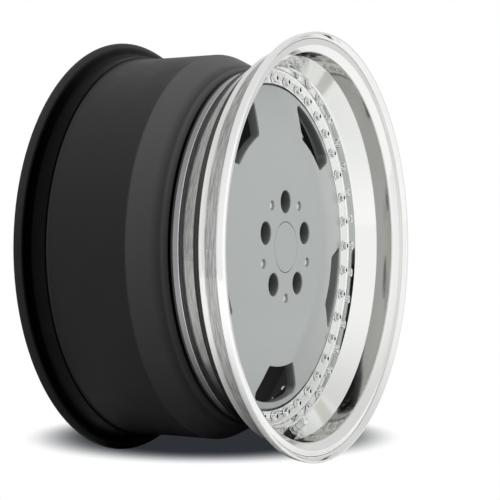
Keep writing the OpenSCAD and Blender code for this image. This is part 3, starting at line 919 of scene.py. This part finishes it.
@dataclass
class BoltRing:
    """The flanged twelve-point bolts of the ring, one head repeated by Geometry Nodes."""

    ring_r: float = 209.0
    count: int = 40
    seat_u: float = 65.5
    flange_r: float = 6.7
    flange_h: float = 1.5
    head_r: float = 5.1
    head_h: float = 4.8
    hollow_r: float = 2.5
    hollow_h: float = 3.6
    shank_r: float = 3.5
    shank_l: float = 35.4
    sides: int = 24
    notch: float = 0.9
    sharp_deg: float = 24.0
    seed: int = 4
    node: str = "assembly_bolts"

    def section(self) -> list[tuple[float, float, Ring]]:
        """One bolt's section from its point to the hollow in its head: r, height, kind of ring."""
        top = self.flange_h + self.head_h
        even, star = Ring.ROUND, Ring.TWELVE_POINT
        return [
            (0.0, -self.shank_l, even), (self.shank_r - 0.6, -self.shank_l, even),
            (self.shank_r, -self.shank_l + 0.6, even), (self.shank_r, 0.0, even),
            (self.flange_r - 0.3, 0.0, even), (self.flange_r, 0.3, even),
            (self.flange_r, self.flange_h * 0.5, even),
            (self.flange_r - 0.4, self.flange_h * 0.75, even),
            (self.head_r + 0.2, self.flange_h, star), (self.head_r, self.flange_h + 0.3, star),
            (self.head_r, top - 0.7, star), (self.head_r - 0.5, top - 0.15, star),
            (self.head_r - 1.0, top, even), (self.hollow_r + 0.3, top, even),
            (self.hollow_r, top - 0.3, even), (self.hollow_r, top - self.hollow_h, even),
            (0.0, top - self.hollow_h - 0.8, even),
        ]

    def bolt(self) -> bpy.types.Mesh:
        """Makes one bolt that stands on Z = 0 and points up, in metres."""
        verts = []
        section = self.section()
        for r, z, ring in section:
            for i, (x, y) in enumerate(circle(self.sides)):
                reach = r * self.notch if ring is Ring.TWELVE_POINT and i % 2 else r
                verts.append((reach * x * MM, reach * y * MM, z * MM))
        mesh = closed_mesh("bolt", verts, bands(len(section), self.sides))
        smooth(mesh, self.sharp_deg)
        return mesh

    def tree(self, finish: bpy.types.Material, bolt: bpy.types.Object) -> bpy.types.NodeTree:
        """Builds the tree that sets one bolt at each place of the ring, each turned at random.

        Args:
            finish: the bolts' material.
            bolt: the object that holds one bolt.

        Returns:
            The tree, with inputs for the count, the ring's radius and the seat.
        """
        tree = bpy.data.node_groups.new("bolt_ring", "GeometryNodeTree")
        kinds = {"Count": "NodeSocketInt", "Radius": "NodeSocketFloat", "Seat": "NodeSocketFloat"}
        for name, kind in kinds.items():
            tree.interface.new_socket(name=name, in_out="INPUT", socket_type=kind)
        tree.interface.new_socket(name="Geometry", in_out="OUTPUT", socket_type="NodeSocketGeometry")
        given = add_node(tree, "NodeGroupInput")
        ring = add_node(tree, "GeometryNodeMeshCircle", Vertices=given.outputs["Count"],
                        Radius=given.outputs["Radius"])
        info = add_node(tree, "GeometryNodeObjectInfo", Object=bolt)
        turn = add_node(tree, "FunctionNodeRandomValue", {"data_type": "FLOAT"}, Seed=self.seed)
        turn.inputs[3].default_value = 2 * math.pi
        spin = add_node(tree, "ShaderNodeCombineXYZ", Z=turn.outputs[1])
        placed = add_node(tree, "GeometryNodeInstanceOnPoints", Points=ring.outputs["Mesh"],
                          Instance=info.outputs["Geometry"], Rotation=spin.outputs[0])
        lift = add_node(tree, "ShaderNodeCombineXYZ", Z=given.outputs["Seat"])
        laid = add_node(tree, "GeometryNodeTransform", Geometry=placed.outputs[0],
                        Translation=lift.outputs[0])
        over = add_node(tree, "GeometryNodeTransform", Geometry=laid.outputs[0],
                        Rotation=(math.pi / 2, 0, 0))
        real = add_node(tree, "GeometryNodeRealizeInstances", Geometry=over.outputs[0])
        dressed = add_node(tree, "GeometryNodeSetMaterial", Geometry=real.outputs[0], Material=finish)
        add_node(tree, "NodeGroupOutput", Geometry=dressed.outputs[0])
        return tree

    def build(self, finish: bpy.types.Material) -> bpy.types.Object:
        """Builds the ring as one plain mesh and puts it in the node's place.

        Args:
            finish: the bolts' material.

        Returns:
            The ring of bolts.
        """
        bolt = bpy.data.objects.new("one_bolt", self.bolt())
        carrier = linked("bolt_carrier", bpy.data.meshes.new("bolt_carrier"))
        tree = self.tree(finish, bolt)
        live = carrier.modifiers.new("ring", "NODES")
        live.node_group = tree
        sizes = {"Count": self.count, "Radius": self.ring_r * MM, "Seat": self.seat_u * MM}
        for item in tree.interface.items_tree:
            if item.in_out == "INPUT":
                live[item.identifier] = sizes[item.name]
        graph = bpy.context.evaluated_depsgraph_get()
        mesh = bpy.data.meshes.new_from_object(carrier.evaluated_get(graph))
        piece = linked("bolts_chromed", mesh)
        bpy.data.objects.remove(carrier)
        bpy.data.objects.remove(bolt)
        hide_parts(self.node)
        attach(piece, "root")
        return piece


@dataclass
class Studio:
    """Floor, soft light and camera."""

    lens_px: float = 1635.17
    frame_px: float = 500.0
    sensor_mm: float = 36.0
    clip: tuple[float, float] = (0.05, 100.0)
    azimuth: float = math.radians(62.281)
    pitch: float = -0.0121598
    roll: float = -0.00031967
    shift_x: float = 29.16513
    shift_z: float = 21.12812
    distance: float = 2052.39073
    floor_z: float = -0.2609
    floor_ends: tuple[float, float] = (-0.95, 3.0)
    floor_bounce: float = 0.12
    # Painted shadow: where the soft ellipse lies on the floor, how big it is, how soft its edge, and its
    # colour.
    shade_centre: tuple[float, float] = (-0.0226, 0.20)
    shade_half: tuple[float, float] = (0.252, 0.284)
    shade_edge: tuple[float, float] = (0.6, 1.04)
    shade_colour: tuple[float, float, float] = (0.196, 0.208, 0.224)
    screen_gamma: float = 2.2
    mirrored: tuple[float, float] = (0.74, 1.0)
    mirror_span: tuple[float, float] = (-0.2, 0.9)
    fill_low: float = 0.02
    fill_side: float = 0.12
    side_reach: float = 0.3
    fill_front: float = 1.54
    front_from: float = 0.5
    fill_top: float = 0.9
    lamp_place: tuple[float, float, float] = (-0.3, -0.4, 2.2)
    lamp_size: float = 2.2
    lamp_power: float = 16.0

    @property
    def side(self) -> Vector:
        """The level direction to the picture's right."""
        return Vector((math.cos(self.azimuth), -math.sin(self.azimuth), 0))

    @property
    def ahead(self) -> Vector:
        """The level direction away from the camera."""
        return Vector((math.sin(self.azimuth), math.cos(self.azimuth), 0))

    def camera(self) -> None:
        """Places the camera that was fitted to the photograph."""
        up = Vector((0, 0, 1))
        place = (self.side * self.shift_x - self.ahead * self.distance + up * self.shift_z) * MM
        look = self.ahead * math.cos(self.pitch) + up * math.sin(self.pitch)
        over = up * math.cos(self.pitch) - self.ahead * math.sin(self.pitch)
        right = self.side * math.cos(self.roll) - over * math.sin(self.roll)
        top = self.side * math.sin(self.roll) + over * math.cos(self.roll)
        data = bpy.data.cameras.new("camera")
        data.sensor_width = self.sensor_mm
        data.lens = self.lens_px / self.frame_px * self.sensor_mm
        data.clip_start, data.clip_end = self.clip
        camera = linked("camera", data)
        camera.matrix_world = Matrix((
            (right.x, top.x, -look.x, place.x),
            (right.y, top.y, -look.y, place.y),
            (right.z, top.z, -look.z, place.z),
            (0, 0, 0, 1),
        ))
        bpy.context.scene.camera = camera

    def world(self) -> None:
        """White to the camera, and a soft studio to everything else."""
        world = bpy.data.worlds.new("studio")
        bpy.context.scene.world = world
        world.use_nodes = True
        tree = world.node_tree
        tree.nodes.clear()
        at = add_node(tree, "ShaderNodeTexCoord").outputs["Generated"]
        axes = add_node(tree, "ShaderNodeSeparateXYZ", Vector=at)
        facing = add_node(tree, "ShaderNodeVectorMath", {"operation": "DOT_PRODUCT"}, in0=at,
                          in1=-self.ahead)
        mirrored = add_node(tree, "ShaderNodeMapRange", SOFT, Value=facing,
                            From_Min=self.mirror_span[0], From_Max=self.mirror_span[1],
                            To_Min=self.mirrored[0], To_Max=self.mirrored[1])
        front = add_node(tree, "ShaderNodeMapRange", Value=axes.outputs["Y"],
                         From_Min=-self.front_from, From_Max=-1.0, To_Max=self.fill_front)
        level = add_node(tree, "ShaderNodeMapRange", Value=axes.outputs["Z"],
                         From_Min=-self.side_reach, From_Max=self.side_reach,
                         To_Min=self.fill_low, To_Max=self.fill_side)
        above = add_node(tree, "ShaderNodeMapRange", Value=axes.outputs["Z"], To_Max=self.fill_top)
        around = add_node(tree, "ShaderNodeMath", {"operation": "ADD"}, in0=level, in1=above)
        fill = add_node(tree, "ShaderNodeMath", {"operation": "ADD"}, in0=front, in1=around)
        soft, even, white = (
            add_node(tree, "ShaderNodeBackground", Color=WHITE, Strength=strength)
            for strength in (mirrored, fill, 1.0))
        path = add_node(tree, "ShaderNodeLightPath")
        lit = add_node(tree, "ShaderNodeMixShader", in0=path.outputs["Is Diffuse Ray"], in1=soft,
                       in2=even)
        shown = add_node(tree, "ShaderNodeMixShader", in0=path.outputs["Is Camera Ray"], in1=lit,
                         in2=white)
        add_node(tree, "ShaderNodeOutputWorld", Surface=shown)

    def floor(self) -> None:
        """A floor with the wheel's soft shadow painted on it as a fixed ellipse, and white around it."""
        low, high = self.floor_ends
        corners = [(low, low), (high, low), (high, high), (low, high)]
        mesh = bpy.data.meshes.new("floor")
        mesh.from_pydata([(x, y, self.floor_z) for x, y in corners], [], [(0, 1, 2, 3)])
        floor = linked("floor", mesh)
        material = bpy.data.materials.new("floor_paper")
        material.use_nodes = True
        tree = material.node_tree
        tree.nodes.clear()
        at = add_node(tree, "ShaderNodeTexCoord").outputs["Object"]
        local = []
        for axis, middle, half in zip((self.side, self.ahead), self.shade_centre, self.shade_half):
            along = add_node(tree, "ShaderNodeVectorMath", {"operation": "DOT_PRODUCT"}, in0=at,
                             in1=axis)
            local.append(add_node(tree, "ShaderNodeMath", {"operation": "MULTIPLY_ADD"}, in0=along,
                                  in1=1 / half, in2=-middle / half))
        spot = add_node(tree, "ShaderNodeCombineXYZ", X=local[0], Y=local[1])
        away = add_node(tree, "ShaderNodeVectorMath", {"operation": "LENGTH"}, in0=spot)
        # Painted shadow: darker inside the ellipse, seen by the camera and in reflections of the paper.
        clear = add_node(tree, "ShaderNodeMapRange", SOFT, Value=away, From_Min=self.shade_edge[0],
                         From_Max=self.shade_edge[1])
        tone = add_node(tree, "ShaderNodeMix", COLOURS, Factor=clear, A=(*self.shade_colour, 1.0),
                        B=WHITE)
        shown = add_node(tree, "ShaderNodeGamma", Color=tone, Gamma=self.screen_gamma)
        bounce = (self.floor_bounce, self.floor_bounce, self.floor_bounce, 1.0)
        seen = add_node(tree, "ShaderNodeEmission", Color=shown, Strength=1.0)
        paper = add_node(tree, "ShaderNodeBsdfDiffuse", Color=shown)
        dull = add_node(tree, "ShaderNodeBsdfDiffuse", Color=bounce)
        path = add_node(tree, "ShaderNodeLightPath")
        other = add_node(tree, "ShaderNodeMixShader", in0=path.outputs["Is Diffuse Ray"], in1=paper,
                         in2=dull)
        both = add_node(tree, "ShaderNodeMixShader", in0=path.outputs["Is Camera Ray"], in1=other,
                        in2=seen)
        add_node(tree, "ShaderNodeOutputMaterial", Surface=both)
        mesh.materials.append(material)

    def lamp(self) -> None:
        """Hangs a soft box over the wheel, which mirrors don't show."""
        data = bpy.data.lights.new("top_box", "AREA")
        data.shape = "SQUARE"
        data.size = self.lamp_size
        data.energy = self.lamp_power
        lamp = linked("top_box", data)
        lamp.visible_glossy = False
        lamp.location = self.lamp_place
        lamp.rotation_mode = "QUATERNION"
        lamp.rotation_quaternion = (-Vector(self.lamp_place)).to_track_quat("-Z", "Y")

    def build(self) -> None:
        """Builds the whole studio."""
        bpy.context.scene.view_settings.view_transform = "Standard"
        self.camera()
        self.world()
        self.floor()
        self.lamp()


def dress_nodes(nodes: dict[str, bpy.types.Object]) -> dict[str, bpy.types.Material]:
    """Gives each CAD node its finish.

    Args:
        nodes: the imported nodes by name.

    Returns:
        The materials by name.
    """
    made: dict[str, bpy.types.Material] = {}
    for name, finish in NODE_FINISH.items():
        if finish.name not in made:
            made[finish.name] = finish.material()
        node = nodes[name]
        node.data.materials.clear()
        node.data.materials.append(made[finish.name])
        LOG.info("dressed %s in %s", name, finish.name)
    return made


def main() -> None:
    """Loads the frame, dresses it and builds the studio."""
    logging.basicConfig(level=logging.INFO, format="%(message)s")
    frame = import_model()
    made = dress_nodes(frame["nodes"])
    lip = OuterLip()
    pieces = [
        lip.build(made[POLISHED.name]),
        BoltRing().build(made[CHROME.name]),
        VALVE_SLEEVE.build(made[CHROME.name], lip.valve_seat()),
        VALVE_COLLAR.build(made[RUBBER.name], lip.valve_seat()),
    ]
    for piece in pieces:
        LOG.info("%s: %d faces", piece.name, len(piece.data.polygons))
    Studio().build()


if __name__ == "__main__":
    main()
